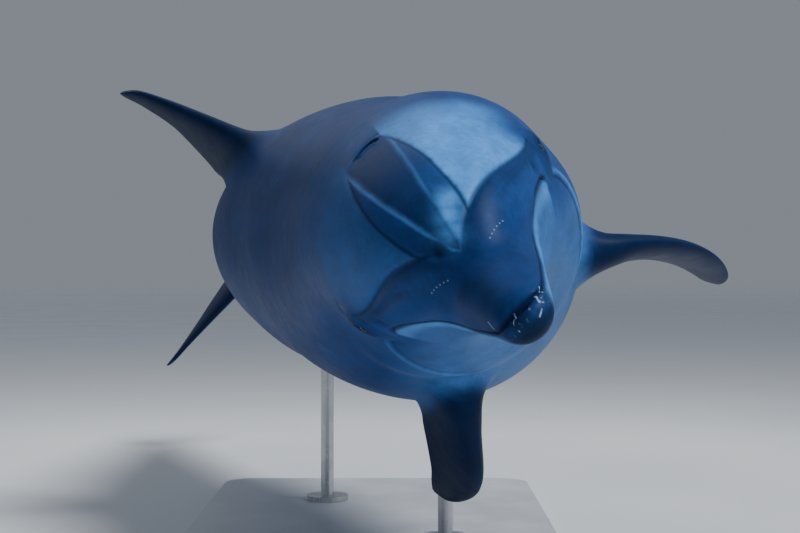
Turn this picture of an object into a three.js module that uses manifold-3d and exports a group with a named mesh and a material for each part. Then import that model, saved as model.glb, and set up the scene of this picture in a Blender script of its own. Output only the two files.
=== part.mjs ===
// Common bottlenose dolphin, adult, life size: banked on its side in mid turn, on a plain display stand.
// Millimetres, +Z up. The origin is the middle of the stand's underside and the animal faces -Y.
//
// The body is described straight first. A "station" is the distance back from the tip of the lower jaw,
// "left" is the distance to the animal's left, and "level" is the height above its long axis.
// place() then bends that straight body along the spine and sets it over the stand.
import * as THREE from 'three';
import Module from 'manifold-3d';

const wasm = await Module();
wasm.setup();

const UP = new THREE.Vector3(0, 0, 1);
const RADIAN = Math.PI / 180;

// Space between neighbouring parts.
const GAP = 0.3;

// How the whole animal is held over the stand.
const HOLD_STATION = 1000;
const HOLD_POINT = new THREE.Vector3(30, -170, 560);
const HEADING = 13.4;
const NOSE_DOWN = 4.5;
const BANK = 47.5;

// Bends of the spine, in degrees from the direction of the chest:
// station, nose up, nose to the left.
const SPINE = [
  [0, 2, -9],
  [320, 2, -9],
  [620, 14, -1],
  [1000, 0, 0],
  [1450, 1, 10],
  [1950, 8, 7],
  [2600, 6, 2],
  [2800, 6, 2],
];
const SPINE_STEP = 5;

// Head and trunk: station, back level, belly level, half width, level of the greatest width.
const TRUNK = [
  [92, -40, -52, 4, -46],
  [108, -18, -48, 14, -32],
  [122, 8, -46, 30, -18],
  [145, 38, -52, 54, -8],
  [185, 76, -60, 84, -4],
  [250, 109, -80, 116, 0],
  [340, 132, -118, 150, 0],
  [460, 152, -178, 173, -6],
  [620, 175, -231, 203, -18],
  [820, 202, -271, 231, -30],
  [1060, 220, -285, 246, -34],
  [1300, 222, -278, 238, -30],
  [1550, 203, -243, 200, -22],
  [1800, 167, -191, 148, -14],
  [2050, 124, -136, 98, -6],
  [2280, 87, -89, 60, -1],
  [2450, 61, -56, 40, 3],
  [2560, 31, -23, 33, 4],
  [2620, 15, -8, 25, 4],
  [2644, 7, 0, 12, 4],
];

// Beak and cheeks: station, top level, bottom level, half width.
const BEAK = [
  [0, -58, -68, 6],
  [6, -52, -79, 18],
  [13, -48, -85, 25],
  [20, -37, -88, 29],
  [45, -26, -92, 36],
  [80, -15, -96, 43],
  [115, -7, -99, 50],
  [170, 0, -105, 59],
  [240, 6, -118, 78],
  [320, 12, -137, 109],
  [430, 22, -168, 141],
  [600, 30, -215, 165],
];
const BEAK_END = 600;
const FOREHEAD_START = 92;

// Level of the axis from which the surface is measured outward: station, level.
const AXIS = [
  [0, -62],
  [50, -55],
  [120, -36],
  [200, -18],
  [320, -8],
  [500, -10],
  [800, -28],
  [1100, -34],
  [1600, -20],
  [2300, 0],
  [2750, 2],
];

// Line of the mouth, seen from the side: station, level.
const MOUTH = [
  [-20, -50],
  [10, -50],
  [30, -55],
  [160, -58],
  [190, -52],
  [215, -40],
  [250, -31],
  [285, -33],
  [316, -44],
];
const JAW_HINGE_FOOT = [345, -190];
const HEAD_REACH = 200;

// Where the body is parted along its length.
const BEAK_ROOT = 119;
const NECK = 450;
const CHEST = 560;
const LOIN = 1020;
const STOCK = 1620;
const STOCK_REAR = 2080;
const FLUKES = 2440;

// Eyes: the ball's radius, and its centre's station, level and distance from the middle.
const EYE_RADIUS = 16;
const EYE_STATION = 355;
const EYE_LEVEL = -20;
const EYE_SIDE = 140;

// Fins: each pair is a share of the span, then a distance of the front or rear edge behind the root point,
// or a thickness.
const FLIPPER = {
  span: 382,
  front: [[0, -12], [0.15, -8], [0.3, 2], [0.5, 24], [0.7, 60], [0.85, 98], [1, 146]],
  rear: [[0, 128], [0.15, 137], [0.3, 142], [0.5, 145], [0.7, 156], [0.85, 174], [1, 192]],
  thick: [[0, 58], [0.15, 50], [0.3, 34], [0.6, 22], [1, 10]],
};
const DORSAL = {
  span: 277,
  front: [[0, -60], [0.12, 30], [0.25, 102], [0.5, 200], [0.8, 308], [0.93, 360], [1, 408]],
  rear: [[0, 392], [0.2, 362], [0.5, 354], [0.8, 390], [0.93, 418], [1, 436]],
  thick: [[0, 96], [0.15, 66], [0.35, 40], [0.7, 22], [1, 11]],
};
const FLUKE = {
  span: 339,
  front: [[0, 0], [0.2, 24], [0.5, 91], [0.8, 177], [0.93, 217], [1, 252]],
  rear: [[0, 200], [0.1, 214], [0.3, 206], [0.5, 203], [0.8, 224], [0.93, 248], [1, 265]],
  thick: [[0, 40], [0.3, 27], [0.7, 14], [1, 8]],
};

// A fin's outline is rounded off from TIP_START of its span outward, more bluntly for a greater power.
const TIP_START = 0.93;
const TIP_POWER = 2.4;
const LAST_RING = 0.99;

// How each fin leaves the body: root point (station, left, level), then droop, sweep and twist in
// degrees, each at the root and the change out to the tip.
const FLIPPER_ROOT = [597, 115, -192];
const LEFT_FLIPPER_AIM = { droop: [27, 44], sweep: [21, -8], twist: [-3, -10] };
const RIGHT_FLIPPER_AIM = { droop: [49, 48], sweep: [35, 6], twist: [23, -7] };
const DORSAL_ROOT = [1187, 0, 180];
const DORSAL_AIM = { droop: [-84, 1], sweep: [-3, 1], twist: [5, 4] };
const FLUKE_ROOT = [2449, 0, 4];
const FLUKE_AIM = { droop: [5, 12], sweep: [0, 1], twist: [11, 2] };

// Stand.
const BASE_LENGTH = 1240;
const BASE_WIDTH = 660;
const BASE_HEIGHT = 30;
const BASE_CORNER = 60;
const ROD_RADIUS = 13;
const ROD_FOOT_RADIUS = 42;
const ROD_FOOT_HEIGHT = 10;
const FRONT_ROD = [130, -100];
const REAR_ROD = [-95, 330];

// Fineness of the meshes.
const BODY_SIDES = 36;
const HEAD_STEPS = 21;
const TRUNK_STEPS = 27;
const FIN_STEPS = 12;
const FIN_SIDES = 14;
const MOUTH_STEP = 24;
const EYE_SIDES = 14;

// Smooth curve through points that never overshoots them; each point is [x, y].
function curve(points) {
  const steps = [];
  const rises = [];
  for (let i = 0; i < points.length - 1; i += 1) {
    steps.push(points[i + 1][0] - points[i][0]);
    rises.push((points[i + 1][1] - points[i][1]) / steps[i]);
  }
  const slopes = points.map((_, i) => slopeAt(i, steps, rises));
  return (x) => {
    let i = 0;
    while (i < steps.length - 1 && x > points[i + 1][0]) {
      i += 1;
    }
    const t = THREE.MathUtils.clamp((x - points[i][0]) / steps[i], 0, 1);
    const u = 1 - t;
    const start = (1 + 2 * t) * u * u * points[i][1] + t * u * u * steps[i] * slopes[i];
    const end = t * t * (3 - 2 * t) * points[i + 1][1] - t * t * u * steps[i] * slopes[i + 1];
    return start + end;
  };
}

function slopeAt(i, steps, rises) {
  if (i === 0) {
    return rises[0];
  }
  if (i === steps.length) {
    return rises[i - 1];
  }
  if (rises[i - 1] * rises[i] <= 0) {
    return 0;
  }
  const before = 2 * steps[i] + steps[i - 1];
  const after = steps[i] + 2 * steps[i - 1];
  return (before + after) / (before / rises[i - 1] + after / rises[i]);
}

function column(table, index) {
  return curve(table.map((row) => [row[0], row[index]]));
}

const trunkBack = column(TRUNK, 1);
const trunkBelly = column(TRUNK, 2);
const trunkHalf = column(TRUNK, 3);
const trunkLevel = column(TRUNK, 4);
const beakTop = column(BEAK, 1);
const beakBottom = column(BEAK, 2);
const beakHalf = column(BEAK, 3);
const axisLevel = curve(AXIS);

// Distance from the axis point to an ellipse of the given half width and half height,
// in the direction whose sideways and upward shares are given.
function reach(sideways, upward, drop, half, height) {
  const a = (sideways / half) ** 2 + (upward / height) ** 2;
  const b = (2 * drop * upward) / height ** 2;
  const c = (drop / height) ** 2 - 1;
  const inside = b * b - 4 * a * c;
  return inside > 0 ? (Math.sqrt(inside) - b) / (2 * a) : 0;
}

function trunkReach(station, sideways, upward) {
  const level = trunkLevel(station);
  const drop = axisLevel(station) - level;
  const above = reach(sideways, upward, drop, trunkHalf(station), trunkBack(station) - level);
  if (drop + above * upward >= 0) {
    return above;
  }
  return reach(sideways, upward, drop, trunkHalf(station), level - trunkBelly(station));
}

function beakReach(station, sideways, upward) {
  const middle = (beakTop(station) + beakBottom(station)) / 2;
  const height = (beakTop(station) - beakBottom(station)) / 2;
  return reach(sideways, upward, axisLevel(station) - middle, beakHalf(station), height);
}

// Distance of the skin from the axis; angle 0 is the back and a quarter turn is the left side.
function skinReach(station, angle) {
  const sideways = Math.sin(angle);
  const upward = Math.cos(angle);
  if (station < FOREHEAD_START) {
    return beakReach(station, sideways, upward);
  }
  const trunk = trunkReach(station, sideways, upward);
  if (station > BEAK_END) {
    return trunk;
  }
  const beak = beakReach(station, sideways, upward);
  const blend = 22 + 36 * THREE.MathUtils.clamp((station - 200) / 300, 0, 1);
  const closeness = Math.max(blend - Math.abs(trunk - beak), 0) / blend;
  return Math.max(trunk, beak) + (closeness * closeness * blend) / 4;
}

// Directions of the spine at a station, in the frame of the chest: forward, left and up.
const spinePitch = column(SPINE, 1);
const spineYaw = column(SPINE, 2);

function spineDirections(station) {
  const pitch = spinePitch(station) * RADIAN;
  const yaw = spineYaw(station) * RADIAN;
  const ahead = Math.cos(pitch);
  const forward = new THREE.Vector3(Math.cos(yaw) * ahead, Math.sin(yaw) * ahead, Math.sin(pitch));
  const left = new THREE.Vector3(-Math.sin(yaw), Math.cos(yaw), 0);
  return { forward, left, up: new THREE.Vector3().crossVectors(forward, left) };
}

// Points of the spine every SPINE_STEP, in the frame of the chest, with the hold station at zero.
function spinePoints() {
  const points = [new THREE.Vector3()];
  const last = SPINE[SPINE.length - 1][0];
  for (let station = 0; station < last; station += SPINE_STEP) {
    const { forward } = spineDirections(station + SPINE_STEP / 2);
    points.push(points[points.length - 1].clone().addScaledVector(forward, -SPINE_STEP));
  }
  const hold = points[HOLD_STATION / SPINE_STEP].clone();
  return points.map((point) => point.sub(hold));
}

const SPINE_LINE = spinePoints();

// Turns the frame of the chest into the frame of the stand.
function chestFrame() {
  const ahead = Math.cos(NOSE_DOWN * RADIAN);
  const forward = new THREE.Vector3(
    Math.sin(HEADING * RADIAN) * ahead,
    -Math.cos(HEADING * RADIAN) * ahead,
    -Math.sin(NOSE_DOWN * RADIAN),
  );
  const left = new THREE.Vector3().crossVectors(UP, forward).normalize();
  left.applyAxisAngle(forward, BANK * RADIAN);
  const up = new THREE.Vector3().crossVectors(forward, left);
  return new THREE.Matrix4().makeBasis(forward, left, up).setPosition(HOLD_POINT);
}

const CHEST_FRAME = chestFrame();

function spineAt(station) {
  const along = THREE.MathUtils.clamp(station / SPINE_STEP, 0, SPINE_LINE.length - 1.001);
  const index = Math.floor(along);
  const point = SPINE_LINE[index].clone().lerp(SPINE_LINE[index + 1], along - index);
  const { forward, left, up } = spineDirections(station);
  const beyond = station - along * SPINE_STEP;
  return { point: point.addScaledVector(forward, -beyond), forward, left, up };
}

// A point of the straight body, where it lies in the bent and banked one.
function place(station, left, level) {
  const spine = spineAt(station);
  const point = spine.point.addScaledVector(spine.left, left).addScaledVector(spine.up, level);
  return point.applyMatrix4(CHEST_FRAME);
}

function direction(station, name) {
  return spineAt(station)[name].clone().transformDirection(CHEST_FRAME);
}

// Closed mesh over rings of equal length, with a point at each end.
function loft(rings, start, end) {
  const sides = rings[0].length;
  const points = [start, ...rings.flat(), end];
  const triangles = [];
  for (let j = 0; j < sides; j += 1) {
    const next = (j + 1) % sides;
    triangles.push(0, 1 + next, 1 + j);
    for (let i = 0; i < rings.length - 1; i += 1) {
      const near = 1 + i * sides;
      const far = near + sides;
      triangles.push(near + j, near + next, far + next, near + j, far + next, far + j);
    }
    const last = 1 + (rings.length - 1) * sides;
    triangles.push(points.length - 1, last + j, last + next);
  }
  const geometry = new THREE.BufferGeometry().setFromPoints(points);
  geometry.setIndex(triangles);
  return geometry;
}

// Signed volume, which is negative where the faces look inward.
function volume(points, triangles) {
  const corner = (k) => new THREE.Vector3().fromArray(points, 3 * triangles[k]);
  let sum = 0;
  for (let k = 0; k < triangles.length; k += 3) {
    sum += corner(k).dot(corner(k + 1).cross(corner(k + 2))) / 6;
  }
  return sum;
}

function toSolid(geometry) {
  const points = geometry.getAttribute('position').array;
  const listed = geometry.index ? geometry.index.array : Array(points.length / 3).keys();
  const triangles = [...listed];
  if (volume(points, triangles) < 0) {
    triangles.reverse();
  }
  const mesh = new wasm.Mesh({
    numProp: 3,
    vertProperties: new Float32Array(points),
    triVerts: new Uint32Array(triangles),
  });
  mesh.merge();
  return new wasm.Manifold(mesh);
}

function toGeometry(solid) {
  const mesh = solid.getMesh();
  const geometry = new THREE.BufferGeometry();
  geometry.setAttribute('position', new THREE.BufferAttribute(mesh.vertProperties, 3));
  geometry.setIndex(new THREE.BufferAttribute(mesh.triVerts, 1));
  return geometry;
}

// Stations of the body's rings: close together over the head, wider over the trunk.
function bodyStations() {
  const last = TRUNK[TRUNK.length - 1][0];
  const stations = [];
  for (let i = 0; i < HEAD_STEPS; i += 1) {
    stations.push(2 + (NECK - 2) * (i / HEAD_STEPS) ** 1.15);
  }
  for (let i = 0; i <= TRUNK_STEPS; i += 1) {
    stations.push(NECK + ((last - NECK) * i) / TRUNK_STEPS);
  }
  return stations;
}

// The whole body without its fins, grown outward by the given amount.
function bodySolid(grown) {
  const rings = bodyStations().map((station) => {
    const ring = [];
    for (let j = 0; j < BODY_SIDES; j += 1) {
      const angle = (2 * Math.PI * j) / BODY_SIDES;
      const out = skinReach(station, angle) + grown;
      ring.push(place(station, out * Math.sin(angle), axisLevel(station) + out * Math.cos(angle)));
    }
    return ring;
  });
  const last = TRUNK[TRUNK.length - 1][0];
  const nose = place(-grown, 0, axisLevel(0));
  const end = place(last + 6 + grown, 0, axisLevel(last));
  return toSolid(loft(rings, nose, end));
}

// Half thickness of a fin's section, for a share of its chord, where the greatest is 0.5.
function foil(share) {
  const root = 1.4845 * Math.sqrt(share);
  return root - 0.63 * share - 1.758 * share ** 2 + 1.4215 * share ** 3 - 0.518 * share ** 4;
}

// Directions of a fin at a share of its span: along the span, along the chord and through it.
function finDirections(aim, share) {
  const [droop, sweep, twist] = [aim.droop, aim.sweep, aim.twist].map(
    ([root, change]) => (root + change * share) * RADIAN,
  );
  const span = [Math.sin(sweep), Math.cos(sweep) * Math.cos(droop), -Math.cos(sweep) * Math.sin(droop)];
  const flat = [Math.cos(sweep), -Math.sin(sweep) * Math.cos(droop), Math.sin(sweep) * Math.sin(droop)];
  const through = [0, Math.sin(droop), Math.cos(droop)];
  const chord = flat.map((value, k) => value * Math.cos(twist) + through[k] * Math.sin(twist));
  const normal = through.map((value, k) => value * Math.cos(twist) - flat[k] * Math.sin(twist));
  return { span, chord, normal };
}

// A fin on the left side (side 1) or the right side (side -1) of the straight body, then bent with it.
function finSolid(shape, root, aim, side) {
  const front = curve(shape.front);
  const rear = curve(shape.rear);
  const thick = curve(shape.thick);
  const base = [...root];
  const rings = [];
  let before = 0;
  for (let i = 0; i <= FIN_STEPS; i += 1) {
    const share = Math.min(1 - (1 - i / FIN_STEPS) ** 1.3, LAST_RING);
    const middle = finDirections(aim, (share + before) / 2);
    middle.span.forEach((value, k) => {
      base[k] += value * shape.span * (share - before);
    });
    before = share;
    const { chord, normal } = finDirections(aim, share);
    const rounded = tipRounding(share);
    const width = (rear(share) - front(share)) * rounded;
    const start = (front(share) + rear(share) - width) / 2;
    const ring = [];
    for (let j = 0; j < FIN_SIDES; j += 1) {
      const turn = (2 * Math.PI * j) / FIN_SIDES;
      const behind = (1 - Math.cos(turn)) / 2;
      const along = start + width * behind;
      const off = Math.sign(Math.sin(turn)) * foil(behind) * thick(share) * Math.sqrt(rounded);
      const point = base.map((value, k) => value + chord[k] * along + normal[k] * off);
      ring.push(place(point[0], side * point[1], point[2]));
    }
    rings.push(ring);
  }
  const tip = centre(rings[FIN_STEPS]);
  const outward = tip.clone().sub(centre(rings[FIN_STEPS - 1])).setLength(shape.span * (1 - LAST_RING));
  return toSolid(loft(rings, centre(rings[0]), tip.add(outward)));
}

function tipRounding(share) {
  const beyond = Math.max((share - TIP_START) / (1 - TIP_START), 0);
  return (1 - beyond ** TIP_POWER) ** (1 / TIP_POWER);
}

function centre(ring) {
  return ring.reduce((total, point) => total.add(point), new THREE.Vector3()).divideScalar(ring.length);
}

// The part of a solid behind one station and in front of another, each end short by half a gap.
function between(solid, front, back) {
  let part = solid;
  if (front !== null) {
    const forward = direction(front, 'forward');
    const offset = forward.dot(place(front, 0, 0)) - GAP / 2;
    part = part.trimByPlane(forward.clone().negate().toArray(), -offset);
  }
  if (back !== null) {
    const forward = direction(back, 'forward');
    part = part.trimByPlane(forward.toArray(), forward.dot(place(back, 0, 0)) + GAP / 2);
  }
  return part;
}

// Everything below the mouth line and in front of the jaw hinge, grown outward by the given amount.
function jawRegion(grown) {
  const line = curve(MOUTH);
  const outline = [];
  const last = MOUTH[MOUTH.length - 1][0];
  for (let station = MOUTH[0][0]; station <= last; station += MOUTH_STEP) {
    outline.push([station, line(station) + grown]);
  }
  outline[outline.length - 1][0] += grown;
  outline.push([JAW_HINGE_FOOT[0] + grown, JAW_HINGE_FOOT[1]]);
  outline.push([MOUTH[0][0], JAW_HINGE_FOOT[1]]);
  const shape = new THREE.Shape(outline.map(([station, level]) => new THREE.Vector2(station, level)));
  const block = new THREE.ExtrudeGeometry(shape, { depth: 2 * HEAD_REACH, bevelEnabled: false });
  const corners = block.getAttribute('position');
  for (let i = 0; i < corners.count; i += 1) {
    const point = place(corners.getX(i), corners.getZ(i) - HEAD_REACH, corners.getY(i));
    corners.setXYZ(i, point.x, point.y, point.z);
  }
  return toSolid(block);
}

function eyeGeometry(side, radius) {
  const ball = new THREE.SphereGeometry(radius, EYE_SIDES, EYE_SIDES / 2);
  const middle = place(EYE_STATION, side * EYE_SIDE, EYE_LEVEL);
  ball.applyQuaternion(new THREE.Quaternion().setFromUnitVectors(UP, direction(EYE_STATION, 'left')));
  return ball.translate(middle.x, middle.y, middle.z);
}

function headParts(body) {
  let head = between(body, null, NECK);
  for (const side of [1, -1]) {
    head = head.subtract(toSolid(eyeGeometry(side, EYE_RADIUS + GAP)));
  }
  const lowerJaw = head.intersect(jawRegion(-GAP / 2));
  const upper = head.subtract(jawRegion(GAP / 2));
  return {
    lower_jaw: lowerJaw,
    upper_jaw: between(upper, null, BEAK_ROOT),
    head: between(upper, BEAK_ROOT, null),
  };
}

function flukeParts(tail) {
  const flukes = between(tail, FLUKES, null);
  const left = direction(FLUKES, 'left');
  const offset = left.dot(place(FLUKES, 0, 0));
  return {
    fluke_left: flukes.trimByPlane(left.toArray(), offset + GAP / 2),
    fluke_right: flukes.trimByPlane(left.clone().negate().toArray(), -offset + GAP / 2),
  };
}

// The body with its flukes, and the fins that pass into it.
function wholeSolids() {
  const flukes = [1, -1].map((side) => finSolid(FLUKE, FLUKE_ROOT, FLUKE_AIM, side));
  return {
    body: bodySolid(0).add(flukes[0]).add(flukes[1]),
    dorsal_fin: finSolid(DORSAL, DORSAL_ROOT, DORSAL_AIM, 1),
    flipper_left: finSolid(FLIPPER, FLIPPER_ROOT, LEFT_FLIPPER_AIM, 1),
    flipper_right: finSolid(FLIPPER, FLIPPER_ROOT, RIGHT_FLIPPER_AIM, -1),
  };
}

function animalParts(whole) {
  const grownBody = bodySolid(GAP);
  return {
    ...headParts(whole.body),
    eye_left: toSolid(eyeGeometry(1, EYE_RADIUS)),
    eye_right: toSolid(eyeGeometry(-1, EYE_RADIUS)),
    neck: between(whole.body, NECK, CHEST),
    chest: between(whole.body, CHEST, LOIN),
    trunk: between(whole.body, LOIN, STOCK),
    tail_stock_front: between(whole.body, STOCK, STOCK_REAR),
    tail_stock_rear: between(whole.body, STOCK_REAR, FLUKES),
    ...flukeParts(whole.body),
    dorsal_fin: whole.dorsal_fin.subtract(grownBody),
    flipper_left: whole.flipper_left.subtract(grownBody),
    flipper_right: whole.flipper_right.subtract(grownBody),
  };
}

function baseGeometry() {
  const x = BASE_WIDTH / 2 - BASE_CORNER;
  const y = BASE_LENGTH / 2 - BASE_CORNER;
  const shape = new THREE.Shape();
  shape.absarc(x, y, BASE_CORNER, 0, Math.PI / 2);
  shape.absarc(-x, y, BASE_CORNER, Math.PI / 2, Math.PI);
  shape.absarc(-x, -y, BASE_CORNER, Math.PI, 1.5 * Math.PI);
  shape.absarc(x, -y, BASE_CORNER, 1.5 * Math.PI, 2 * Math.PI);
  return new THREE.ExtrudeGeometry(shape, { depth: BASE_HEIGHT, bevelEnabled: false, curveSegments: 8 });
}

// A rod with a round foot on the base, its top cut to lie against the animal.
function rodSolid([x, y], whole) {
  const bottom = BASE_HEIGHT + GAP;
  const top = HOLD_POINT.z;
  const profile = [
    new THREE.Vector2(0, bottom),
    new THREE.Vector2(ROD_FOOT_RADIUS, bottom),
    new THREE.Vector2(ROD_FOOT_RADIUS, bottom + ROD_FOOT_HEIGHT),
    new THREE.Vector2(ROD_RADIUS, bottom + ROD_FOOT_HEIGHT),
    new THREE.Vector2(ROD_RADIUS, top),
    new THREE.Vector2(0, top),
  ];
  const lathe = new THREE.LatheGeometry(profile, 24).rotateX(Math.PI / 2).translate(x, y, 0);
  let rod = toSolid(lathe);
  for (const solid of Object.values(whole)) {
    rod = rod.subtract(solid).subtract(solid.translate([0, 0, -GAP]));
  }
  return rod;
}

const COLOURS = {
  back: '#3f4a55',
  side: '#5c6a76',
  jaw: '#6d7b86',
  fin: '#37424d',
  eye: '#0d0f12',
  base: '#9ea3a8',
  rod: '#b8bbc0',
};
const FINISHES = {
  back: { roughness: 0.35, metalness: 0 },
  side: { roughness: 0.35, metalness: 0 },
  jaw: { roughness: 0.35, metalness: 0 },
  fin: { roughness: 0.35, metalness: 0 },
  eye: { roughness: 0.08, metalness: 0 },
  base: { roughness: 0.5, metalness: 0 },
  rod: { roughness: 0.3, metalness: 1 },
};
const LOOKS = {
  lower_jaw: 'jaw',
  upper_jaw: 'back',
  head: 'back',
  neck: 'side',
  chest: 'side',
  trunk: 'side',
  tail_stock_front: 'side',
  tail_stock_rear: 'side',
  dorsal_fin: 'fin',
  flipper_left: 'fin',
  flipper_right: 'fin',
  fluke_left: 'fin',
  fluke_right: 'fin',
  eye_left: 'eye',
  eye_right: 'eye',
  stand_base: 'base',
  stand_rod_front: 'rod',
  stand_rod_rear: 'rod',
};

function part(name, solid) {
  const look = LOOKS[name];
  const material = new THREE.MeshStandardMaterial({ color: COLOURS[look], ...FINISHES[look] });
  const mesh = new THREE.Mesh(toGeometry(solid), material);
  mesh.name = name;
  return mesh;
}

function dolphin() {
  const whole = wholeSolids();
  const solids = {
    ...animalParts(whole),
    stand_base: toSolid(baseGeometry()),
    stand_rod_front: rodSolid(FRONT_ROD, whole),
    stand_rod_rear: rodSolid(REAR_ROD, whole),
  };
  const group = new THREE.Group();
  group.name = 'bottlenose_dolphin';
  for (const [name, solid] of Object.entries(solids)) {
    group.add(part(name, solid));
  }
  return group;
}

export default dolphin();
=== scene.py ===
"""Bottlenose dolphin, a still life-size model banked over a display stand: its skin, eyes, stand and studio.

The body is described straight first, in millimetres: "station" is the distance back from the tip of the
lower jaw, "left" the distance to the animal's left and "level" the height above its long axis. place() then
bends that straight body along the spine and sets it over the stand, in metres.
"""

import math

import bmesh
import bpy
import numpy as np
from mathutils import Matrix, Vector


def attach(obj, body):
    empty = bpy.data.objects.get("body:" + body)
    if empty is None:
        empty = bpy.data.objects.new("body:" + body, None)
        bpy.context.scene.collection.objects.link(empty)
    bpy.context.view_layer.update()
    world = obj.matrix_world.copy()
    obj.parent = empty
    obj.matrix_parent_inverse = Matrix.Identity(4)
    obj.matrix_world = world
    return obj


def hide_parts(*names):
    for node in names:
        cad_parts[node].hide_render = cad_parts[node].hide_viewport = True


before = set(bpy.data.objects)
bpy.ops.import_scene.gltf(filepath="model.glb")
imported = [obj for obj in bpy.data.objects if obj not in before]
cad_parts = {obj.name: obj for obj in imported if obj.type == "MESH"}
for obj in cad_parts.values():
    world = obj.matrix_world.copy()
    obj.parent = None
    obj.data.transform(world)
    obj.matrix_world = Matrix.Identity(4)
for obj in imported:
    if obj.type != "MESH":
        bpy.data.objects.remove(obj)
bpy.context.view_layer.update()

MM = 0.001

# How the whole animal is held over the stand.
HOLD_STATION = 1000
HOLD_POINT = (0.030, -0.170, 0.560)
HEADING = 13.4
NOSE_DOWN = 4.5
BANK = 47.5

# Bends of the spine, in degrees from the direction of the chest: station, nose up, nose to the left.
SPINE = [
    [0, 2, -9], [320, 2, -9], [620, 14, -1], [1000, 0, 0],
    [1450, 1, 10], [1950, 8, 7], [2600, 6, 2], [2800, 6, 2],
]
SPINE_STEP = 5

# Head and trunk: station, back level, belly level, half width, level of the greatest width.
TRUNK = [
    [92, -40, -52, 4, -46],
    [108, -18, -48, 14, -32],
    [122, 8, -46, 30, -18],
    [145, 38, -52, 54, -8],
    [185, 76, -60, 84, -4],
    [250, 109, -80, 116, 0],
    [340, 132, -118, 150, 0],
    [460, 152, -178, 173, -6],
    [620, 175, -231, 203, -18],
    [820, 202, -271, 231, -30],
    [1060, 220, -285, 246, -34],
    [1300, 222, -278, 238, -30],
    [1550, 203, -243, 200, -22],
    [1800, 167, -191, 148, -14],
    [2050, 124, -136, 98, -6],
    [2280, 87, -89, 60, -1],
    [2450, 61, -56, 40, 3],
    [2560, 31, -23, 33, 4],
    [2620, 15, -8, 25, 4],
    [2644, 7, 0, 12, 4],
]
TAIL_END = 2650

# Beak and cheeks: station, top level, bottom level, half width.
BEAK = [
    [0, -58, -68, 6],
    [6, -52, -79, 18],
    [13, -48, -85, 25],
    [20, -37, -88, 29],
    [45, -26, -92, 36],
    [80, -15, -96, 43],
    [115, -7, -99, 50],
    [170, 0, -105, 59],
    [240, 6, -118, 78],
    [320, 12, -137, 109],
    [430, 22, -168, 141],
    [600, 30, -215, 165],
]
BEAK_END = 600
FOREHEAD_START = 92

# Level of the axis from which the surface is measured outward: station, level.
AXIS = [
    [0, -62], [50, -55], [120, -36], [200, -18], [320, -8], [500, -10],
    [800, -28], [1100, -34], [1600, -20], [2300, 0], [2750, 2],
]

# Line of the mouth, seen from the side: station, level. It runs on past the corner as a line of close rows.
MOUTH = [
    [-20, -50], [10, -50], [30, -55], [160, -58], [190, -52], [215, -40],
    [250, -31], [285, -33], [316, -44], [355, -42], [480, -30],
]
MOUTH_CORNER = 308

# Eyes: the ball's radius, and its centre's station, level and distance from the middle.
EYE_RADIUS = 16
EYE_STATION = 355
EYE_LEVEL = -20
EYE_SIDE = 140

# Fins: each pair is a share of the span, then a distance of the front or rear edge behind the root point,
# or a thickness.
FLIPPER = {
    "span": 382,
    "front": [[0, -12], [0.15, -8], [0.3, 2], [0.5, 24], [0.7, 60], [0.85, 98], [1, 146]],
    "rear": [[0, 128], [0.15, 137], [0.3, 142], [0.5, 145], [0.7, 156], [0.85, 174], [1, 192]],
    "thick": [[0, 58], [0.15, 50], [0.3, 34], [0.6, 22], [1, 10]],
}
DORSAL = {
    "span": 277,
    "front": [[0, -60], [0.12, 30], [0.25, 102], [0.5, 200], [0.8, 308], [0.93, 360], [1, 408]],
    "rear": [[0, 392], [0.2, 362], [0.5, 354], [0.8, 390], [0.93, 418], [1, 436]],
    "thick": [[0, 96], [0.15, 66], [0.35, 40], [0.7, 22], [1, 11]],
}
FLUKE = {
    "span": 339,
    "front": [[0, 0], [0.2, 24], [0.5, 91], [0.8, 177], [0.93, 217], [1, 252]],
    "rear": [[0, 200], [0.1, 214], [0.3, 206], [0.5, 203], [0.8, 224], [0.93, 248], [1, 265]],
    "thick": [[0, 40], [0.3, 27], [0.7, 14], [1, 8]],
}

# How each fin leaves the body: root point (station, left, level), side, droop, sweep and twist in degrees
# (each at the root and the change out to the tip), and the radius of its fillet with the body in front and
# behind.
FINS = [
    (FLIPPER, (597, 115, -192), 1, (27, 44), (21, -8), (-3, -10), (58, 20)),
    (FLIPPER, (597, 115, -192), -1, (49, 48), (35, 6), (23, -7), (46, 14)),
    (DORSAL, (1187, 0, 180), 1, (-84, 1), (-3, 1), (5, 4), (46, 36)),
    (FLUKE, (2449, 0, 4), 1, (5, 12), (0, 1), (11, 2), (20, 14)),
    (FLUKE, (2449, 0, 4), -1, (5, 12), (0, 1), (11, 2), (20, 14)),
]

# Fineness of the skin.
SIDE_ROWS = 92
ROWS_ABOVE_MOUTH = 50
RINGS = 368
RING_PLACES = [
    [0, 0], [0.02, 6], [0.188, 120], [0.543, 450], [0.665, 700], [0.81, 1480], [0.935, 2440], [1, TAIL_END],
]
FIN_RINGS = 46
FIN_SIDES = 44
TIP_START = 0.93
TIP_POWER = 2.4
EYE_SEGMENTS = 64
FLOOR_RADIUS = 90


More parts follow.
